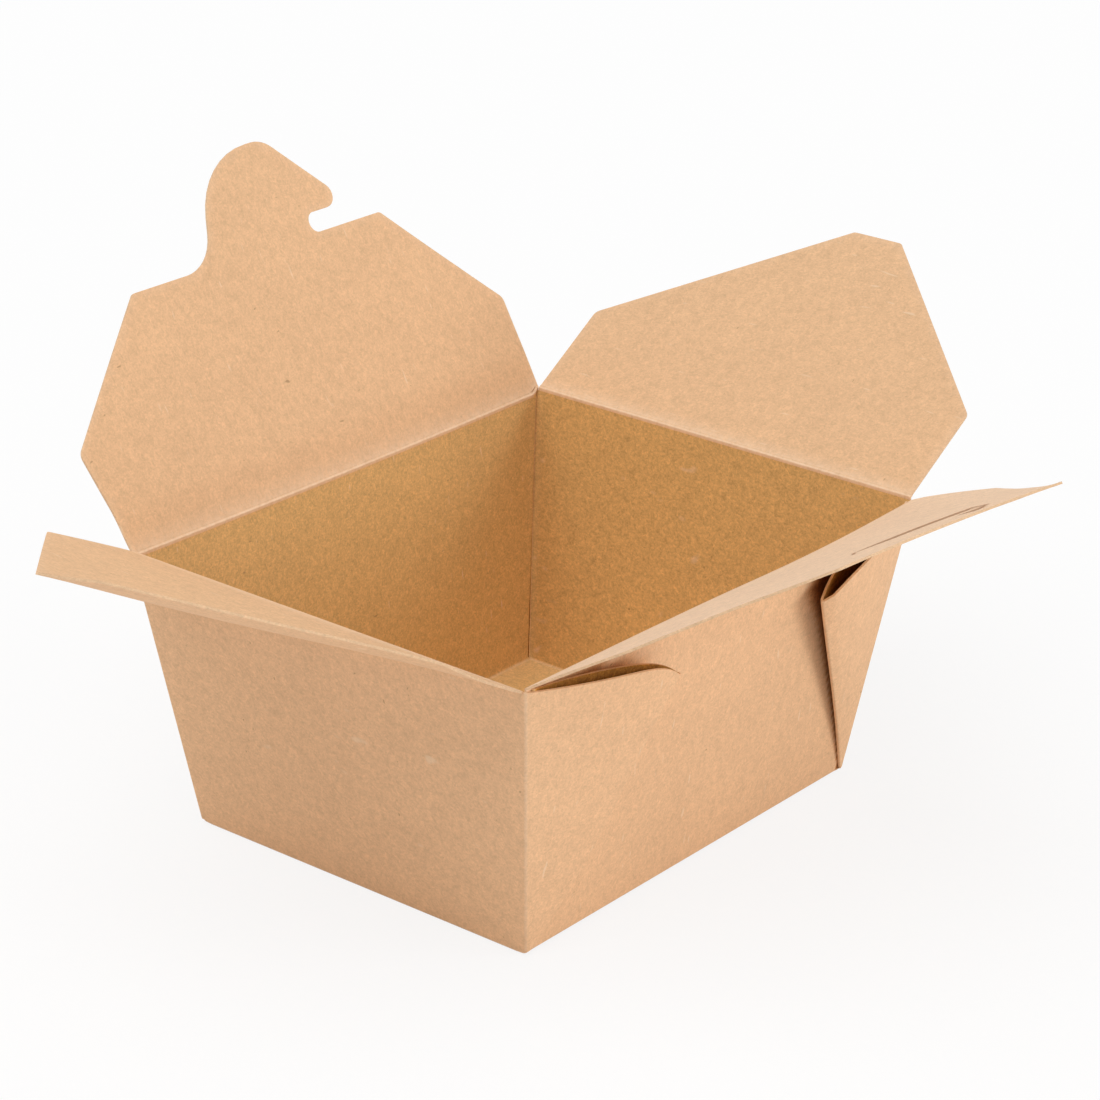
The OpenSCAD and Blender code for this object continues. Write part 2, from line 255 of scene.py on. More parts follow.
# Sheets of board
def boardMesh(name, middle, normals, triangles, marks, body, node, skins=(innerBoard, outerBoard)):
    # two skins half a board either side of the middle surface, and a rim along every open edge
    half = sheet["board"] / 2
    key = np.round(np.hstack([middle, normals]), 5)
    _, first, index = np.unique(key, axis=0, return_index=True, return_inverse=True)
    index = index.ravel()
    middle, normals = middle[first], normals[first]
    triangles = index[triangles]
    a, b, c = triangles.T
    triangles = triangles[(a != b) & (b != c) & (c != a)]
    count = len(middle)
    edges = triangles[:, [0, 1, 1, 2, 2, 0]].reshape(-1, 2)
    _, where, used = np.unique(np.sort(edges, axis=1), axis=0, return_index=True, return_counts=True)
    rim = edges[where[used == 1]]
    p, q = rim.T
    rimA = np.column_stack([q, p, p + count])
    rimB = np.column_stack([q, p + count, q + count])
    points = np.vstack([middle + normals * half, middle - normals * half]) / 1000
    faces = np.vstack([triangles, triangles[:, ::-1] + count, rimA, rimB])
    kinds = np.concatenate([np.zeros(len(triangles)), np.ones(len(triangles)), np.full(2 * len(rim), 2)])
    mesh = bpy.data.meshes.new(name)
    mesh.from_pydata(points.tolist(), [], faces.tolist())
    for material in (*skins, cutBoard):
        mesh.materials.append(material)
    mesh.polygons.foreach_set("material_index", kinds.astype(np.int32))
    for mark, values in marks.items():
        attribute = mesh.attributes.new(mark, "FLOAT", "POINT")
        attribute.data.foreach_set("value", np.tile(values[first], 2).astype(np.float32))
    mesh.update()
    mesh.shade_smooth()
    mesh.set_sharp_from_angle(angle=math.radians(sheet["sharpAngle"]))
    piece = bpy.data.objects.new(name, mesh)
    bpy.context.scene.collection.objects.link(piece)
    if body:
        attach(piece, body)
    if node:
        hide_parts(node)
    return piece


def gridTriangles(rows, columns, closed=False):
    # two triangles for each cell of a grid, whose columns may close into a ring
    i, j = np.meshgrid(np.arange(rows - 1), np.arange(columns if closed else columns - 1), indexing="ij")
    k = (j + 1) % columns
    below, above = i * columns, (i + 1) * columns
    a, b, c, d = (x.ravel() for x in (below + j, below + k, above + k, above + j))
    return np.vstack([np.column_stack([a, b, c]), np.column_stack([a, c, d])])


def smoothStep(t):
    t = np.clip(t, 0, 1)
    return t * t * (3 - 2 * t)


sag = {"middle": 0.35, "lean": 0.45, "depth": 1.19, "at": 0.50, "width": 0.58, "fade": 16.7}
dip = {"middle": 2.35, "lean": 0.2, "bow": 0.5, "rise": 0.75, "riseFrom": 64.4, "riseRun": 1.8, "fade": 9}


def slotDip(x, v=0.0):
    # How much lower than its own line the front long wall's crease lies: more towards the far end, with a soft
    # sag beyond the middle that fades out across the flap, over its distance v from the crease.
    s = x / box["longHalf"]
    hollow = sag["depth"] * np.exp(-((s - sag["at"]) / sag["width"]) ** 2 - (v / sag["fade"]) ** 2)
    return -sag["middle"] * (1 - s * s) - sag["lean"] * (1 + s) - hollow


def tongueDip(x, v=0.0):
    # How much lower than its own line the back long wall's crease lies: it rises again at the far corner and
    # fades out across the flap.
    s = x / box["longHalf"]
    low = -dip["middle"] - dip["lean"] * s + dip["bow"] * s * s
    rise = 1 - dip["rise"] * smoothStep((x - dip["riseFrom"]) / dip["riseRun"])
    return low * rise * (1 - smoothStep(np.asarray(v) / dip["fade"]))


# Body: base, walls and corner webs, folded from one sheet
webs = {
    "foldRadius": 0.45, "foldGap": 0.27, "footGap": 0.12, "footStack": 0.27,
    "crowd": 1.15, "crestFall": 9, "sweepSkew": 2.0, "footAim": (0.10, 0.98, -0.12),
    # shadeRun to leastOff shape the painted shade in the webs' pockets and on the wall under their folded edges
    "shadeRun": 5.5, "shadeHigh": (42, 60), "shadeFrom": 0.5, "shadeSooner": 0.8, "shadeFull": 1.4,
    "leastOff": 0.3,
}
frontFold = {"stack": 0.35, "seamLow": 0.8, "seamTop": 1.2, "seamDrop": 0.0}
backFold = {"stack": 0.6, "seamLow": 0.3, "seamTop": 0.35, "seamDrop": 0.9}
# pocketShade, wedgeShade and edgeShade set the painted shade in a web's pocket, on the wall under its folded edge
# and on its inner layer's top cut edge
nearWeb = {
    "edge": 63.8, "standOff": 11.4, "apexRun": 0.8, "footOut": 0.0, "puff": 1.3, "puffSkew": 1.0,
    "innerPuff": 1.3, "innerSkew": 1.0, "crest": 3.4, "sweep": 2.3,
    "pocketShade": (0.22, 0.24), "wedgeShade": 0.5, "edgeShade": 0.3,
}
farWeb = {
    "edge": 60.2, "standOff": 8.3, "apexRun": 0.35, "footOut": 0.4, "puff": 2.6, "puffSkew": 0.45,
    "innerPuff": 1.4, "innerSkew": 0.8, "crest": 3.9, "sweep": -0.9,
    "pocketShade": (0.18, 0.55), "wedgeShade": 0.9, "edgeShade": 0.25,
}
grid = {
    "wallRows": 30, "foldRows": 7, "baseRings": 4, "ringCrowd": 0.7,
    "arc": 9, "layer": 36, "turn": 9, "longWall": 110, "endWall": 38,
}
# The corners in order round the box: side in X, side in Y, order of the columns, height of the fold's head
bodyCorners = ((1, 1, 1, 63.7), (-1, 1, -1, 63.7), (-1, -1, 1, 64.45), (1, -1, -1, 63.6))
# painted shade: an even darkening of the inside of the far end wall
farWallShade = 0.05  # shade mark on the inside of the far end wall


def hump(s, skew):
    # a rise from 0 to 1 and back over s from 0 to 1, whose peak moves towards 0 as skew grows
    peak = 1 / (1 + skew)
    return s * (1 - s) ** skew / (peak * (1 - peak) ** skew)


def cornerColumns(web, fold, top):
    # Columns of the corner at +X +Y, from the end wall round to the long wall: the corner fold, the web's outer
    # layer, its folded edge, its inner layer and the fold back to the long wall. Each runs from a foot to a head,
    # and its puff is what it stands out by at the top.
    longer, wider = box["rimLength"] - box["baseLength"], box["rimWidth"] - box["baseWidth"]
    halfLength = lambda z: (box["baseLength"] + longer * z / box["height"]) / 2
    halfWidth = lambda z: (box["baseWidth"] + wider * z / box["height"]) / 2
    endLean = math.atan(longer / 2 / box["height"])
    longLean = math.atan(wider / 2 / box["height"])
    post = lambda z: np.array([halfLength(z) - box["lowFold"] / math.cos(endLean),
                               halfWidth(z) - box["lowFold"] / math.cos(longLean), z])
    along = unit(post(box["height"]) - post(0))
    endOut = np.array([math.cos(endLean), 0, -math.sin(endLean)])
    longOut = np.array([0, math.cos(longLean), -math.sin(longLean)])
    longWay = np.cross(along, longOut)
    off = math.radians(web["standOff"])
    way = math.cos(off) * longWay + math.sin(off) * longOut
    out = math.cos(off) * longOut - math.sin(off) * longWay
    low, high = post(box["lowFold"]), post(top)
    endAngle = math.pi / 2 + math.atan(wider / 2 * math.cos(endLean) / box["height"])
    longAngle = math.pi / 2 + math.atan(longer / 2 * math.cos(longLean) / box["height"])
    half = (1.5 * math.pi - endAngle - longAngle) / 2
    tip = low + web["edge"] * (math.cos(half) * along + math.sin(half) * way)
    radius, tight = sheet["foldRadius"], webs["foldRadius"]
    gap, footGap = webs["foldGap"], webs["footGap"]
    run, footOut = way * web["apexRun"], out * web["footOut"]

    def turned(first, last, share):
        # unit normals turning from first to last about the corner's own line
        angle = math.acos(np.clip(first @ last, -1, 1))
        side = unit(last - (first @ last) * first)
        return np.outer(np.cos(angle * share), first) + np.outer(np.sin(angle * share), side)

    t = np.linspace(0, 1, grid["arc"])
    arcNormals = turned(endOut, out, t)
    heel = (radius - tight) * (endOut + longOut)
    stack, footStack = longOut * fold["stack"], longOut * webs["footStack"]
    arc = heel + arcNormals * tight
    s = np.linspace(0, 1, grid["layer"] + 1)[1:, None] ** webs["crowd"]
    crest = along * web["crest"] * s * (1 - s ** webs["crestFall"])
    outerFoot = low + (heel + footStack + out * tight) * (1 - s)
    outerFoot = outerFoot + (out * (radius + footGap) + run + footOut) * s
    outerHead = high + (tip - high) * s + (heel + stack + out * tight) * (1 - s)
    outerHead = outerHead + out * (radius + gap) * s + crest
    outerPuff = out * web["puff"] * hump(s, web["puffSkew"])
    u = np.linspace(0, math.pi, grid["turn"] + 2)[1:-1, None]
    turnNormals = np.cos(u) * out + np.sin(u) * way
    turnFoot = low + out * radius + run + footOut + turnNormals * footGap
    turnHead = tip + out * radius + turnNormals * gap
    seamDrop = np.array([0, 0, fold["seamDrop"]])
    seamFoot = low + longOut * (radius + 2 * footGap) + longWay * fold["seamLow"]
    seamHead = high + longOut * (radius + 2 * gap) + longWay * fold["seamTop"] - seamDrop
    r = s[::-1][1:]
    lastFoot = low + out * (radius - footGap) + run + footOut
    lastHead = tip + out * (radius - gap)
    innerFoot = seamFoot + (lastFoot - seamFoot) * r
    innerHead = seamHead + (lastHead - seamHead) * r + crest[::-1][1:]
    innerPuff = -out * web["innerPuff"] * hump(r, web["innerSkew"])
    v = np.linspace(0, 1, grid["turn"] + 1)
    seamNormals = np.outer(-np.cos(math.pi * v), longOut) + np.outer(np.sin(math.pi * v), longWay)
    seamFeet = low + longOut * (radius + footGap) + longWay * fold["seamLow"] - seamNormals * footGap
    seamHeads = high + longOut * (radius + gap) + longWay * fold["seamTop"] - seamNormals * gap - seamDrop
    feet = np.vstack([low + footStack + arc, outerFoot, turnFoot, innerFoot, seamFeet])
    heads = np.vstack([high + stack + arc, outerHead, turnHead, innerHead, seamHeads])
    puffs = np.vstack([0 * arc, outerPuff, 0 * turnFoot, innerPuff, 0 * seamFeet])
    share = np.concatenate([0 * t, s[:, 0], 1 + 0 * u[:, 0], r[:, 0], 0 * v])
    sweeps = np.outer(share, way * web["sweep"])
    normals = np.vstack([arcNormals, np.repeat(out[None], len(s), 0), turnNormals,
                         np.repeat(-out[None], len(r), 0), seamNormals])
    wear = np.concatenate([
        rub["corner"] * np.sin(math.pi * t), 0 * s[:, 0], rub["webFold"] * np.sin(u[:, 0]),
        0 * r[:, 0], rub["seam"] * np.sin(math.pi * v)])
    inWeb = np.arange(len(feet)) >= len(t)
    # painted shade in the web's pocket, more with depth from the folded edge and none on the seam, and on the
    # inner layer's top cut edge
    depth = (1 - share) * np.linalg.norm(tip - low) * math.sin(half)
    least, more = web["pocketShade"]
    pocket = inWeb * (least + more * smoothStep(depth / webs["shadeRun"]))
    pocket[-len(v):] = 0
    edgeShade = np.zeros(len(feet))
    edgeShade[-len(v) - len(r):-len(v)] = web["edgeShade"]
    return [feet, heads, puffs, sweeps, normals], [wear, inWeb, pocket, edgeShade], low


def wallColumns(start, end, startHead, endHead, normal, count, shade):
    # straight columns between two corners, ends left out, with an even painted shade mark
    t = np.linspace(0, 1, count + 2)[1:-1, None]
    still = np.zeros((count, 3))
    vectors = [start + (end - start) * t, startHead + (endHead - startHead) * t, still, still,
               np.repeat(normal[None], count, 0)]
    return vectors, [np.zeros(count), np.zeros(count, bool), np.full(count, shade), np.zeros(count)]


def wedgeShade(points, edge):
    # Painted shade on the long wall under a web's folded edge, from 0 to 1: it grows with the depth under the
    # edge, measured in the edge's own distance from the wall at that height, and sooner near the top. edge runs
    # upward along the fold, then along its top.
    z = np.maximum.accumulate(edge[:, 2]) + np.arange(len(edge)) * 1e-6
    under = np.abs(points[..., 0]) - np.interp(points[..., 2], z, np.abs(edge[:, 0]))
    off = np.interp(points[..., 2], z, np.abs(edge[:, 1])) - np.abs(points[..., 1])
    off = np.maximum(off, webs["leastOff"])
    lowest, highest = webs["shadeHigh"]
    sooner = webs["shadeSooner"] * smoothStep((points[..., 2] - lowest) / (highest - lowest))
    start = webs["shadeFrom"] - sooner
    return smoothStep((under / off - start) / (webs["shadeFull"] - start))


def bodyPiece():
    corners = []
    for sx, sy, step, top in bodyCorners:
        web, fold = nearWeb if sx < 0 else farWeb, frontFold if sy < 0 else backFold
        vectors, scalars, low = cornerColumns(web, fold, top)
        flip = np.array([sx, sy, 1.0])
        corners.append(([(x * flip)[::step] for x in vectors], [x[::step] for x in scalars], low * flip))
    vectors, scalars, lows = [], [], []
    for k, (own, marks, low) in enumerate(corners):
        following = corners[(k + 1) % 4][0]
        isLong = k % 2 == 0
        top = (creaseZ if isLong else box["height"]) - sheet["creaseHalf"]
        ends = [foot + (head - foot) * (top - foot[2]) / (head[2] - foot[2])
                for foot, head in ((own[0][-1], own[1][-1]), (following[0][0], following[1][0]))]
        wall, wallMarks = wallColumns(own[0][-1], following[0][0], *ends, own[4][-1],
                                      grid["longWall" if isLong else "endWall"],
                                      farWallShade if k == 3 else 0)
        if isLong:
            wall[1][:, 2] += (slotDip if k else tongueDip)(wall[1][:, 0])
        vectors += [own, wall]
        scalars += [marks, wallMarks]
        lows += [np.repeat(low[None], len(own[0]), 0), wall[0] - wall[4] * sheet["foldRadius"]]
    feet, heads, puffs, sweeps, normals = (np.vstack(x) for x in zip(*vectors))
    wear, inWeb, pocket, edgeShade = (np.concatenate(x) for x in zip(*scalars))
    lows = np.vstack(lows)
    columns = len(feet)
    # wall rows, from the foot up; puffs grow with the square of the height and sweeps fade out again
    rise = np.linspace(0, 1, grid["wallRows"])[:, None, None]
    wallPoints = feet + (heads - feet) * rise + puffs * rise ** 2 + sweeps * hump(rise, webs["sweepSkew"])
    ahead = np.roll(wallPoints, -1, 1) - np.roll(wallPoints, 1, 1)
    upward = heads - feet + 2 * puffs * rise
    wallNormals = np.cross(ahead, upward)
    length = np.linalg.norm(wallNormals, axis=2, keepdims=True)
    wallNormals = np.where(length > 1e-6, wallNormals / np.maximum(length, 1e-9), normals)
    # where the grid is pinched its own normal strays, and the column's takes its place
    strays = (wallNormals * normals).sum(2, keepdims=True) < 0.2
    wallNormals = np.where(strays, np.broadcast_to(normals, wallNormals.shape), wallNormals)
    # painted shade on each web's inner layer and seam, and on the long wall under its folded edge
    wedge = np.zeros(wallPoints.shape[:2])
    straight = ~inWeb & (np.abs(normals[:, 1]) > 0.99)  # the long walls' own columns
    for sx in (1, -1):
        for sy in (1, -1):
            mine = np.flatnonzero(inWeb & (np.sign(feet[:, 0]) == sx) & (np.sign(feet[:, 1]) == sy))
            if sx * sy < 0:
                mine = mine[::-1]
            fold, seam = mine[grid["layer"] + grid["turn"] // 2], mine[-grid["turn"] - 1:]
            inner = mine[grid["layer"] + grid["turn"]:-grid["turn"] - 1]
            edge = np.concatenate([wallPoints[:, fold], wallPoints[-1, inner]])
            deepest = (nearWeb if sx < 0 else farWeb)["wedgeShade"]
            wedge[:, inner] = wedge[:, seam] = deepest
            wall = straight & (np.sign(feet[:, 0]) == sx) & (np.sign(feet[:, 1]) == sy)
            wedge[:, wall] = deepest * wedgeShade(wallPoints[:, wall], edge)
    # fold rows, from the base plane to the foot, where the web's columns meet in the base's corner
    flat = np.array([0, 0, -1.0])
    outward = np.where(inWeb[:, None], 0, 1) * normals
    for sx in (1, -1):
        for sy in (1, -1):
            mine = inWeb & (np.sign(feet[:, 0]) == sx) & (np.sign(feet[:, 1]) == sy)
            outward[mine] = unit(np.array(webs["footAim"]) * [sx, sy, 1])
    turn = np.linspace(0, 1, grid["foldRows"] + 1)[:-1, None, None] * math.pi / 2
    level = outward - (outward @ flat)[:, None] * flat
    level = level / np.linalg.norm(level, axis=1, keepdims=True)
    reach = np.arccos(np.clip((outward * level).sum(1), -1, 1))[None, :, None]
    angle = turn * (1 - reach / (math.pi / 2))
    foldNormals = np.cos(angle) * flat + np.sin(angle) * level
    foldPoints = lows + foldNormals * sheet["foldRadius"]
    # base rings, from the middle out
    share = (np.linspace(0, 1, grid["baseRings"] + 1)[:-1] ** grid["ringCrowd"])[:, None, None]
    rings = foldPoints[0] * np.array([1, 1, 0]) * share + np.array([0, 0, foldPoints[0][0, 2]])
    ringNormals = np.broadcast_to(flat, rings.shape)
    middle = np.concatenate([rings, foldPoints, wallPoints])
    across = np.concatenate([ringNormals, foldNormals, wallNormals])
    rows = len(middle)
    foldWear = np.zeros((rows, columns))
    bent = np.linspace(rub["baseEnds"], math.pi - rub["baseEnds"], len(foldPoints))
    foldWear[len(rings):-len(wallPoints)] = rub["baseFold"] * np.sin(bent)[:, None]
    foldWear[-len(wallPoints):] = wear
    # painted shade marks beside the wear: in the webs' pockets, under their folded edges and on their inner
    # layers' top cut edges
    pocketMark, wedgeMark, edgeMark = (np.zeros((rows, columns)) for _ in range(3))
    pocketMark[-len(wallPoints):], wedgeMark[-len(wallPoints):] = pocket, wedge
    edgeMark[-1] = edgeShade
    marks = {
        "foldWear": foldWear, "pocketShade": pocketMark, "wedgeShade": wedgeMark, "edgeShade": edgeMark,
    }
    return boardMesh("boxBody", middle.reshape(-1, 3), across.reshape(-1, 3),
                     gridTriangles(rows, columns, closed=True),
                     {mark: values.ravel() for mark, values in marks.items()},
                     "body", "box_body", skins=(outerBoard, shadedWallInside))


boxBody = bodyPiece()
print("body folded:", len(boxBody.data.polygons), "faces")


# Flaps
def roundedOutline(corners, steps=8):
    # corners are (x, y, radius); each radius becomes an arc that touches both sides
    points = []
    for k, (x, y, radius) in enumerate(corners):
        corner = np.array([x, y])
        if not radius:
            points.append(corner[None])
            continue
        before, after = np.array(corners[k - 1][:2]), np.array(corners[(k + 1) % len(corners)][:2])
        back, ahead = unit(before - corner), unit(after - corner)
        half = math.acos(np.clip(back @ ahead, -1, 1)) / 2
        centre = corner + unit(back + ahead) * radius / math.sin(half)
        first = corner + back * radius / math.tan(half) - centre
        last = corner + ahead * radius / math.tan(half) - centre
        start = math.atan2(first[1], first[0])
        turn = (math.atan2(last[1], last[0]) - start + math.pi) % (2 * math.pi) - math.pi
        angles = start + turn * np.linspace(0, 1, steps + 1)
        points.append(centre + radius * np.column_stack([np.cos(angles), np.sin(angles)]))
    return np.vstack(points)


def denser(outline, step):
    # the same closed outline with a point at least every step
    ahead = np.roll(outline, -1, 0)
    lengths = np.linalg.norm(ahead - outline, axis=1)
    parts = [a + (b - a) * np.linspace(0, 1, max(1, math.ceil(n / step)) + 1)[:-1, None]
             for a, b, n in zip(outline, ahead, lengths)]
    return np.vstack(parts)


def inside(points, outline):
    # even-odd test of many points at once
    x, y = points[:, :1], points[:, 1:]
    ax, ay = outline.T
    bx, by = np.roll(outline, -1, 0).T
    with np.errstate(divide="ignore", invalid="ignore"):
        crossing = ((ay > y) != (by > y)) & (x < (bx - ax) * (y - ay) / (by - ay) + ax)
    return crossing.sum(1) % 2 == 1


def gapTo(points, outline):
    # distance from each point to the nearest outline point
    return np.sqrt(((points[:, None] - outline[None]) ** 2).sum(2)).min(1)


def cutSheet(outline, holes, step):
    # flat points and triangles of a blank: its outline, its cuts and a regular grid between them
    loops = [denser(outline, step)] + [denser(h, step / 2) for h in holes]
    edge = np.vstack(loops)
    low, high = outline.min(0), outline.max(0)
    xs, ys = np.arange(low[0], high[0], step), np.arange(low[1] + step / 2, high[1], step)
    lattice = np.stack(np.meshgrid(xs, ys), -1).reshape(-1, 2)
    keep = inside(lattice, outline) & (gapTo(lattice, edge) > sheet["keepOff"] * step)
    for hole in holes:
        keep &= ~inside(lattice, hole)
    points = np.vstack([edge, lattice[keep]])
    starts = np.cumsum([0] + [len(x) for x in loops])
    ties = [(a + i, a + (i + 1) % (b - a))
            for a, b in zip(starts[:-1], starts[1:]) for i in range(b - a)]
    flat, _, faces, _, _, _ = delaunay_2d_cdt([Vector(p) for p in points.tolist()], ties, [], 0, 1e-6)
    flat, faces = np.array([tuple(p) for p in flat]), np.array(faces)
    centres = flat[faces].mean(1)
    good = inside(centres, loops[0])
    for hole in loops[1:]:
        good &= ~inside(centres, hole)
    return flat, faces[good]


def flapSurface(flat, flap, steps=40):
    # The board leaves the crease and follows its lift, an angle above level, summed along v in small steps.
    u, v = flat[:, :1], flat[:, 1:]
    t = (np.arange(steps) + 0.5) / steps
    angle = np.radians(flap["lift"](u, v * t))
    run = np.cos(angle).mean(1, keepdims=True) * v
    rise = np.sin(angle).mean(1, keepdims=True) * v
    if "drop" in flap:
        rise = rise + flap["drop"](flat)[:, None]
    return flap["origin"] + u * flap["along"] + run * flap["outDir"] + rise * np.array([0, 0, 1.0])


def flapNormals(flat, flap):
    # from the surface a little to each side of every point
    nudge = 0.05
    across = flapSurface(flat + [nudge, 0], flap) - flapSurface(flat - [nudge, 0], flap)
    ahead = flapSurface(flat + [0, nudge], flap) - flapSurface(flat - [0, nudge], flap)
    return unit(np.cross(across, ahead))


def flapPiece(flap, body, node):
    flat, faces = cutSheet(flap["outline"], flap.get("cuts", []), sheet["meshStep"])
    a, b, c = (flat[faces[:, k]] for k in range(3))
    ab, ac = b - a, c - a
    turned = ab[:, 0] * ac[:, 1] - ab[:, 1] * ac[:, 0] < 0
    faces[turned] = faces[turned][:, ::-1]
    middle, normals = flapSurface(flat, flap), flapNormals(flat, flap)
    toEdge = gapTo(flat, denser(flap["outline"], rub["edgeStep"]))
    edgeWear = rub["edge"] * np.exp(-(toEdge / rub["edgeRun"]) ** 2)
    rootWear = rub["root"] * np.exp(-((flat[:, 1] - root) / rub["rootRun"]) ** 2)
    marks = {"foldWear": edgeWear + rootWear}
    if "cuts" in flap:
        # painted shadow: a dark line on the board close to the slit
        toCut = gapTo(flat, np.vstack([denser(x, flap["slitWidth"] / 2) for x in flap["cuts"]]))
        marks["slitShade"] = 1.0 * (toCut < flap["slitMark"])
    skins = flap.get("skins", (innerBoard, outerBoard))
    return boardMesh(flap["name"], middle, normals, faces, marks, body, node, skins)


crease = {
    "rows": 13, "moreColumns": 12, "beadRun": 0.2, "bendHalf": 0.17,
    "longHalf": 66.1, "endHalf": 51.9, "spans": 8,
}


def creasePiece(flap, name, first, last, wallUp):
    # The pressed crease: from the wall's top edge to the flap's root by a quadratic curve that heads for the
    # crease's own line, with a low bead on the inner side.
    reach, rows = sheet["creaseHalf"], crease["rows"]
    columns = math.ceil(last - first) + crease["moreColumns"]
    u = np.linspace(first, last, columns)
    angle = np.radians(flap["lift"](u[:, None], np.full((columns, 1), reach)))[:, 0]
    ahead = np.cos(angle)[:, None] * flap["outDir"] + np.sin(angle)[:, None] * np.array([0, 0, 1.0])
    line = flap["origin"] + u[:, None] * flap["along"]
    if "drop" in flap:
        line[:, 2] += flap["drop"](np.column_stack([u, 0 * u]))
    start, end = line - wallUp * reach, line + ahead * reach
    t = np.linspace(0, 1, rows)[:, None, None]
    middle = (1 - t) ** 2 * start + 2 * t * (1 - t) * line + t ** 2 * end
    slope = 2 * (1 - t) * (line - start) + 2 * t * (end - line)
    normals = unit(np.cross(flap["along"], slope))
    bead = sheet["creaseBead"] * np.exp(-((t - 0.5) / crease["beadRun"]) ** 2)
    middle = middle + normals * bead
    wear = rub["creaseLeast"] + rub["creaseMore"] * np.exp(-((t[:, 0] - 0.5) / rub["creaseRun"]) ** 2)
    wear = np.repeat(wear, columns, 1)
    piece = boardMesh(name, middle.reshape(-1, 3), normals.reshape(-1, 3),
                      gridTriangles(rows, columns), {"foldWear": wear.ravel()}, None, None)
    # where it would turn, within a third of its width about its own line's usual height: worked out, and not used
    rising = unit(wallUp + ahead.mean(0))
    centre = flap["origin"] + rising * np.median((line - flap["origin"]) @ rising)
    start, end = centre - rising * crease["bendHalf"], centre + rising * crease["bendHalf"]
    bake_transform(piece)


root = sheet["creaseHalf"]
tongue = {
    "name": "tongueFlap", "angle": 55.6, "curl": 4.5, "curlRun": 50, "depth": 50.0, "shoulder": 21.9,
    "rightWide": 67.3, "leftWide": 68.7, "rightFar": 40.3, "leftFar": 38.4,
    "reach": 23.5, "left": 14.3, "flank": 69.0, "notchEnd": 18.2, "notchWidth": 4.7, "notchRound": 0.48,
    "hookReach": 14.1, "hookRadius": 2.8, "crownRadius": 8.0, "browRadius": 20.0, "flankRadius": 11.0,
    "along": np.array([1.0, 0, 0]), "outDir": np.array([0, 1.0, 0]),
    "origin": np.array([0, creaseY, creaseZ]),
}


def tongueOutline(f):
    halfRoot, top = creaseX - sheet["rootInset"], f["depth"] + f["reach"]
    hookX, hookY = f["notchEnd"] + f["hookReach"], f["depth"] + f["notchWidth"]
    side, corner = sheet["sideRadius"], sheet["cornerRadius"]
    flankRun = f["reach"] / math.tan(math.radians(f["flank"]))
    notch = f["notchWidth"] * f["notchRound"]
    return roundedOutline([
        (halfRoot, root, 0), (f["rightWide"], f["shoulder"], side), (f["rightFar"], f["depth"], corner),
        (f["notchEnd"], f["depth"], notch), (f["notchEnd"], hookY, notch), (hookX, hookY, f["hookRadius"]),
        (hookX - (top - hookY), top, f["crownRadius"]), (flankRun - f["left"], top, f["browRadius"]),
        (-f["left"], f["depth"], f["flankRadius"]), (-f["leftFar"], f["depth"], corner),
        (-f["leftWide"], f["shoulder"], side), (-halfRoot, root, 0)])


tongue["outline"] = tongueOutline(tongue)
tongue["lift"] = lambda u, v: tongue["angle"] + tongue["curl"] * v / tongue["curlRun"] + 0 * u
tongue["drop"] = lambda flat: tongueDip(flat[:, 0], flat[:, 1])

slot = {
    "name": "slotFlap", "depth": 59.2, "shoulder": 24.9, "shoulderHalf": 62.5, "farHalf": 37.5,
    "relief": 3.0, "slitDepth": 43.6, "slitStart": 15.5, "slitSlant": 2.5, "slitEnd": -27.5,
    "slitTab": 3.5, "returnCut": 10.0, "slitWidth": 0.6, "slitMark": 0.2, "slitDrop": 0.3, "tabDrop": 0.35,
    "stripRun": 14, "tabRun": 3, "endRun": 2.0, "bowRun": 10, "curlRun": 30,
    "rootLift": (36.6, -3.5, -7.5), "bow": (-5.7, -1.88, 1.93), "curl": (7.8, 3.95),
    "bend": (-2.63, -0.38), "bendWidth": 1.2,
    "along": np.array([-1.0, 0, 0]), "outDir": np.array([0, -1.0, 0]),
    "origin": np.array([0, -creaseY, creaseZ]),
}


def slotLift(u, v):
    # twisted along the crease, hollow across its depth, curling up at the far corner
    s = -u / box["longHalf"]
    lift, bow, curl, bend = slot["rootLift"], slot["bow"], slot["curl"], slot["bend"]
    return (lift[0] + lift[1] * s + lift[2] * s * s
            + (bow[0] + bow[1] * s + bow[2] * s * s) * v / slot["bowRun"]
            + (curl[0] + curl[1] * s) * (v / slot["curlRun"]) ** 2
            + (bend[0] + bend[1] * s) / (1 + np.exp(-(v - slot["slitDepth"]) / slot["bendWidth"])))


def slotDrop(flat):
    # the strip beyond the slit hangs a little below the rest of the flap, and the one beyond the tab's cut too
    x, v = -flat[:, 0], flat[:, 1]
    start, end = slot["slitSlant"] - slot["slitStart"], -slot["slitEnd"]
    last = smoothStep((end - x) / slot["endRun"])
    strip = smoothStep((x - start) / slot["stripRun"]) * last
    tab = smoothStep((x - end + slot["returnCut"]) / slot["tabRun"]) * last
    fade = np.clip((slot["depth"] - v) / (slot["depth"] - slot["slitDepth"]), 0, 1)
    return (slotDip(x, v) - slot["slitDrop"] * strip * (v > slot["slitDepth"]) * fade
            - slot["tabDrop"] * tab * (v > slot["slitDepth"] + slot["slitTab"]) * fade)


def ribbon(path, width):
    # outline of a cut of that width along a path
    path = np.array(path, float)
    legs = unit(np.diff(path, axis=0))
    sides = np.column_stack([-legs[:, 1], legs[:, 0]])
    before, after = np.vstack([sides[:1], sides]), np.vstack([sides, sides[-1:]])
    mitre = (before + after) / (1 + (before * after).sum(1, keepdims=True))
    return np.vstack([path + mitre * width / 2, (path - mitre * width / 2)[::-1]])


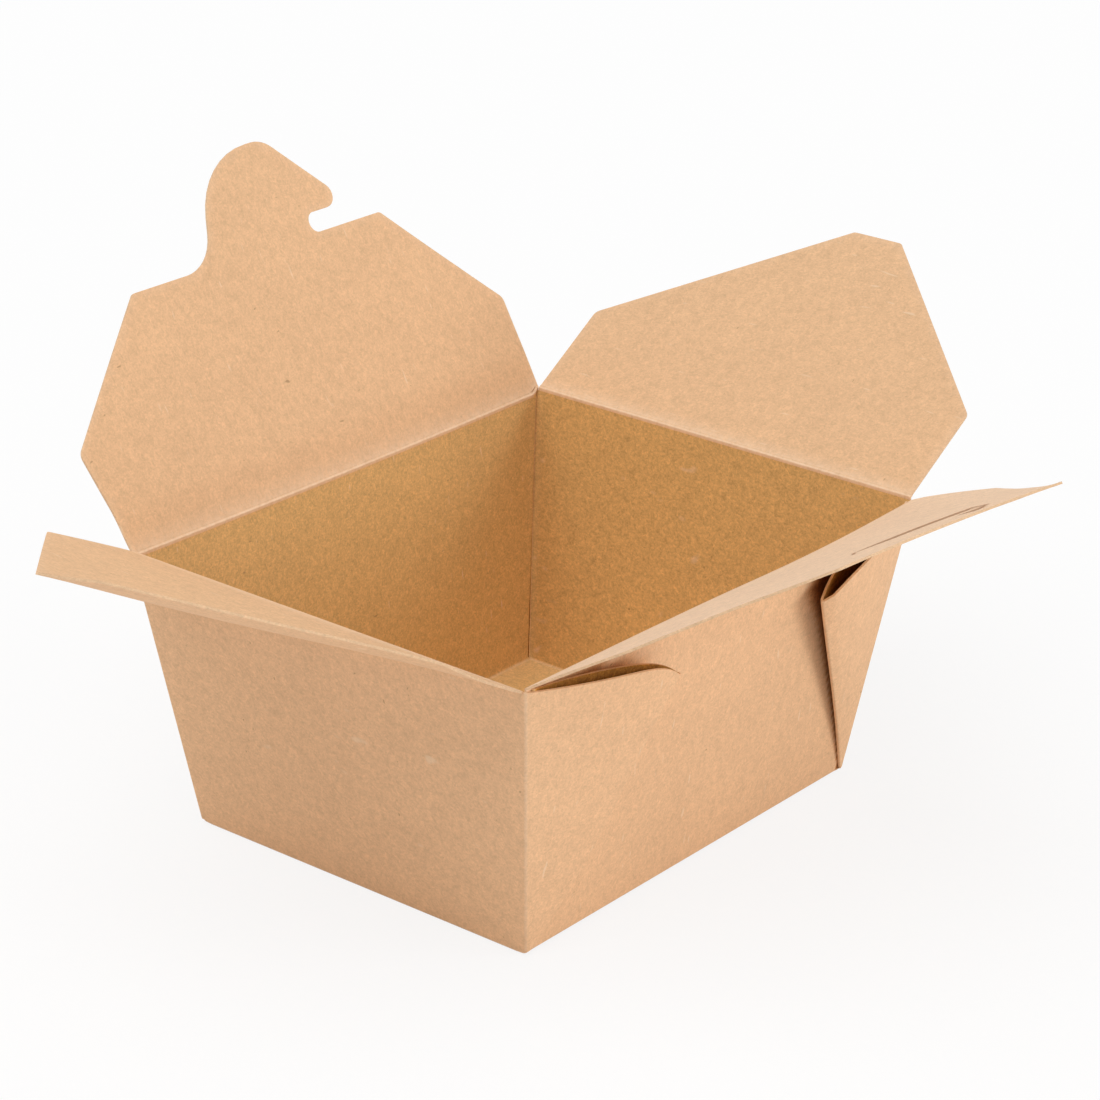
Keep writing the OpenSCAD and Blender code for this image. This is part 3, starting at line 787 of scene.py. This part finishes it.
def slotOutline(f):
    halfRoot, side, corner = creaseX - sheet["rootInset"], sheet["sideRadius"], sheet["cornerRadius"]
    return roundedOutline([
        (halfRoot, root, 0), (halfRoot, root + f["relief"], 0), (f["shoulderHalf"], f["shoulder"], side),
        (f["farHalf"], f["depth"], corner), (-f["farHalf"], f["depth"], corner),
        (-f["shoulderHalf"], f["shoulder"], side), (-halfRoot, root + f["relief"], 0), (-halfRoot, root, 0)])


def slotSlit(f):
    # slanted start, long straight cut, step and short return
    depth, deeper, end = f["slitDepth"], f["slitDepth"] + f["slitTab"], f["slitEnd"]
    return ribbon([
        (f["slitStart"], depth + f["slitTab"] / 2), (f["slitStart"] - f["slitSlant"], depth),
        (end, depth), (end, deeper), (end + f["returnCut"], deeper)], f["slitWidth"])


# the slot flap's inner skin takes the paler copy of the board colour: painted light
slot["lift"], slot["drop"], slot["skins"] = slotLift, slotDrop, (litSlotInside, outerBoard)
slot["outline"], slot["cuts"] = slotOutline(slot), [slotSlit(slot)]


def endOutline(f):
    side, corner = sheet["sideRadius"], sheet["cornerRadius"]
    return roundedOutline([
        (f["rootHalf"], root, 0), (f["wideHalf"], f["shoulder"], side),
        (f["tipOffset"] + f["tipHalf"], f["depth"], corner),
        (f["tipOffset"] - f["tipHalf"], f["depth"], corner),
        (-f["wideHalf"], f["shoulder"], side), (-f["rootHalf"], root, 0)])


nearEnd = {
    "name": "nearEndFlap", "rootHalf": 51.8, "wideHalf": 51.9, "shoulder": 26.9,
    "tipHalf": 7.6, "tipOffset": 4.8, "depth": 69.1, "bowRun": 10, "curlRun": 30,
    "rootLift": (20.3, 0.05, 7.3), "bow": (-1.7, 1.44, 2.0), "curl": (9.4, 0.65, -4.4), "hook": (-2.1, 0.71),
    "along": np.array([0, 1.0, 0]), "outDir": np.array([-1.0, 0, 0]),
    "origin": np.array([-creaseX, 0, box["height"]]),
}


def nearEndLift(u, v):
    # raised along both sides, and curling up with depth, most on the side nearest the slot flap
    s, far = -u / box["endHalf"], v / nearEnd["curlRun"]
    lift, bow, curl, hook = nearEnd["rootLift"], nearEnd["bow"], nearEnd["curl"], nearEnd["hook"]
    return (lift[0] + lift[1] * s + lift[2] * s * s
            + (bow[0] + bow[1] * s + bow[2] * s * s) * v / nearEnd["bowRun"]
            + (curl[0] + curl[1] * s + curl[2] * s * s) * far ** 2 + (hook[0] + hook[1] * s) * far ** 3)


nearEnd["lift"] = nearEndLift
nearEnd["outline"] = endOutline(nearEnd)

farEnd = {
    "name": "farEndFlap", "rootHalf": 51.8, "wideHalf": 52.0, "shoulder": 24.8,
    "tipHalf": 6.5, "tipOffset": 3.4, "depth": 66.0, "angle": 32.0,
    "along": np.array([0, -1.0, 0]), "outDir": np.array([1.0, 0, 0]),
    "origin": np.array([creaseX, 0, box["height"]]),
}
farEnd["lift"] = lambda u, v: farEnd["angle"] + 0 * (u + v)
farEnd["outline"] = endOutline(farEnd)

longUp = unit(np.array([0, (box["rimWidth"] - box["baseWidth"]) / 2, box["height"]]))
endUp = unit(np.array([(box["rimLength"] - box["baseLength"]) / 2, 0, box["height"]]))
for flap, body, node, halfLength, spans, wallUp in (
        (tongue, "tongue", "tongue_flap", crease["longHalf"], crease["spans"], longUp),
        (slot, "slot", "slot_flap", crease["longHalf"], crease["spans"], longUp * [1, -1, 1]),
        (nearEnd, "near_end", "near_end_flap", crease["endHalf"], 1, endUp * [-1, 1, 1]),
        (farEnd, "far_end", "far_end_flap", crease["endHalf"], 1, endUp)):
    piece = flapPiece(flap, body, node)
    # a crease that sags is made in spans
    stops = np.linspace(-halfLength, halfLength, spans + 1)
    for k in range(spans):
        name = flap["name"].replace("Flap", "Crease") + (str(k + 1) if spans > 1 else "")
        creasePiece(flap, name, stops[k], stops[k + 1], wallUp)
    print("flap made:", piece.name, len(piece.data.polygons), "faces, with its crease")

# Floor, backdrop and light
studio = {
    "floor": 0.90, "floorWhite": 0.84, "floorRoughness": 0.9, "world": 0.45,
    "floorRings": (0.02, 0.4, 1.5, 6.0), "floorSides": 64, "floorDrop": 0.0001,
    "keyFrom": (0.5, -0.85, 0.2), "keyStrength": 1.32, "keyAngle": 35.0,
    "topFrom": (-0.32, 0.1, 0.94), "topStrength": 1.55, "topAngle": 60.0,
    "sideFrom": (-0.95, 0.22, 0.22), "sideStrength": 0.15, "sideAngle": 35.0,
}


def seenRay(tree):
    # 1 where the camera looks straight at a surface, in a reflection or through glass, and 0 for other light
    path = tree.nodes.new("ShaderNodeLightPath")
    seen = mathNode(tree, "MAXIMUM", path.outputs["Is Camera Ray"], path.outputs["Is Glossy Ray"])
    return mathNode(tree, "MAXIMUM", seen, path.outputs["Is Transmission Ray"])


def studioFloor():
    # a disc of plain floor: rings of points about the origin
    rings, sides = np.array(studio["floorRings"]), studio["floorSides"]
    around = np.linspace(0, 2 * math.pi, sides + 1)[:-1]
    x, y = rings[:, None] * np.cos(around), rings[:, None] * np.sin(around)
    points = np.stack([x, y, 0 * x], -1).reshape(-1, 3)
    middle = np.column_stack([np.zeros(sides - 2, int), np.arange(2, sides), np.arange(1, sides - 1)])
    triangles = np.vstack([gridTriangles(len(rings), sides, closed=True), middle])[:, ::-1]
    mesh = bpy.data.meshes.new("studioFloor")
    mesh.from_pydata(points.tolist(), [], triangles.tolist())
    floor = bpy.data.objects.new("studioFloor", mesh)
    floor.location.z = -studio["floorDrop"]
    bpy.context.scene.collection.objects.link(floor)
    material = bpy.data.materials.new("paleFloor")
    material.use_nodes = True
    tree = material.node_tree
    shader = tree.nodes["Principled BSDF"]
    shader.inputs["Base Color"].default_value = (studio["floor"],) * 3 + (1,)
    shader.inputs["Roughness"].default_value = studio["floorRoughness"]
    shader.inputs["Specular IOR Level"].default_value = 0.0
    white = tree.nodes.new("ShaderNodeEmission")
    mixer = tree.nodes.new("ShaderNodeMixShader")
    link(tree, mathNode(tree, "MULTIPLY", seenRay(tree), studio["floorWhite"]), mixer.inputs["Fac"])
    link(tree, shader.outputs["BSDF"], mixer.inputs[1])
    link(tree, white.outputs["Emission"], mixer.inputs[2])
    link(tree, mixer.outputs["Shader"], tree.nodes["Material Output"].inputs["Surface"])
    mesh.materials.append(material)


def studioLight():
    world = bpy.data.worlds.new("studioWorld")
    bpy.context.scene.world = world
    world.use_nodes = True
    tree = world.node_tree
    background = tree.nodes["Background"]
    background.inputs["Color"].default_value = (1, 1, 1, 1)
    link(tree, rangeNode(tree, seenRay(tree), 0, 1, studio["world"], 1.0), background.inputs["Strength"])
    for name in ("key", "top", "side"):
        data = bpy.data.lights.new(name + "Light", "SUN")
        data.energy, data.angle = studio[name + "Strength"], math.radians(studio[name + "Angle"])
        lamp = bpy.data.objects.new(name + "Light", data)
        lamp.rotation_mode = "QUATERNION"
        lamp.rotation_quaternion = Vector(studio[name + "From"]).to_track_quat("Z", "Y")
        bpy.context.scene.collection.objects.link(lamp)


studioFloor()
studioLight()
bpy.context.scene.view_settings.view_transform = "Standard"
print("studio lit")
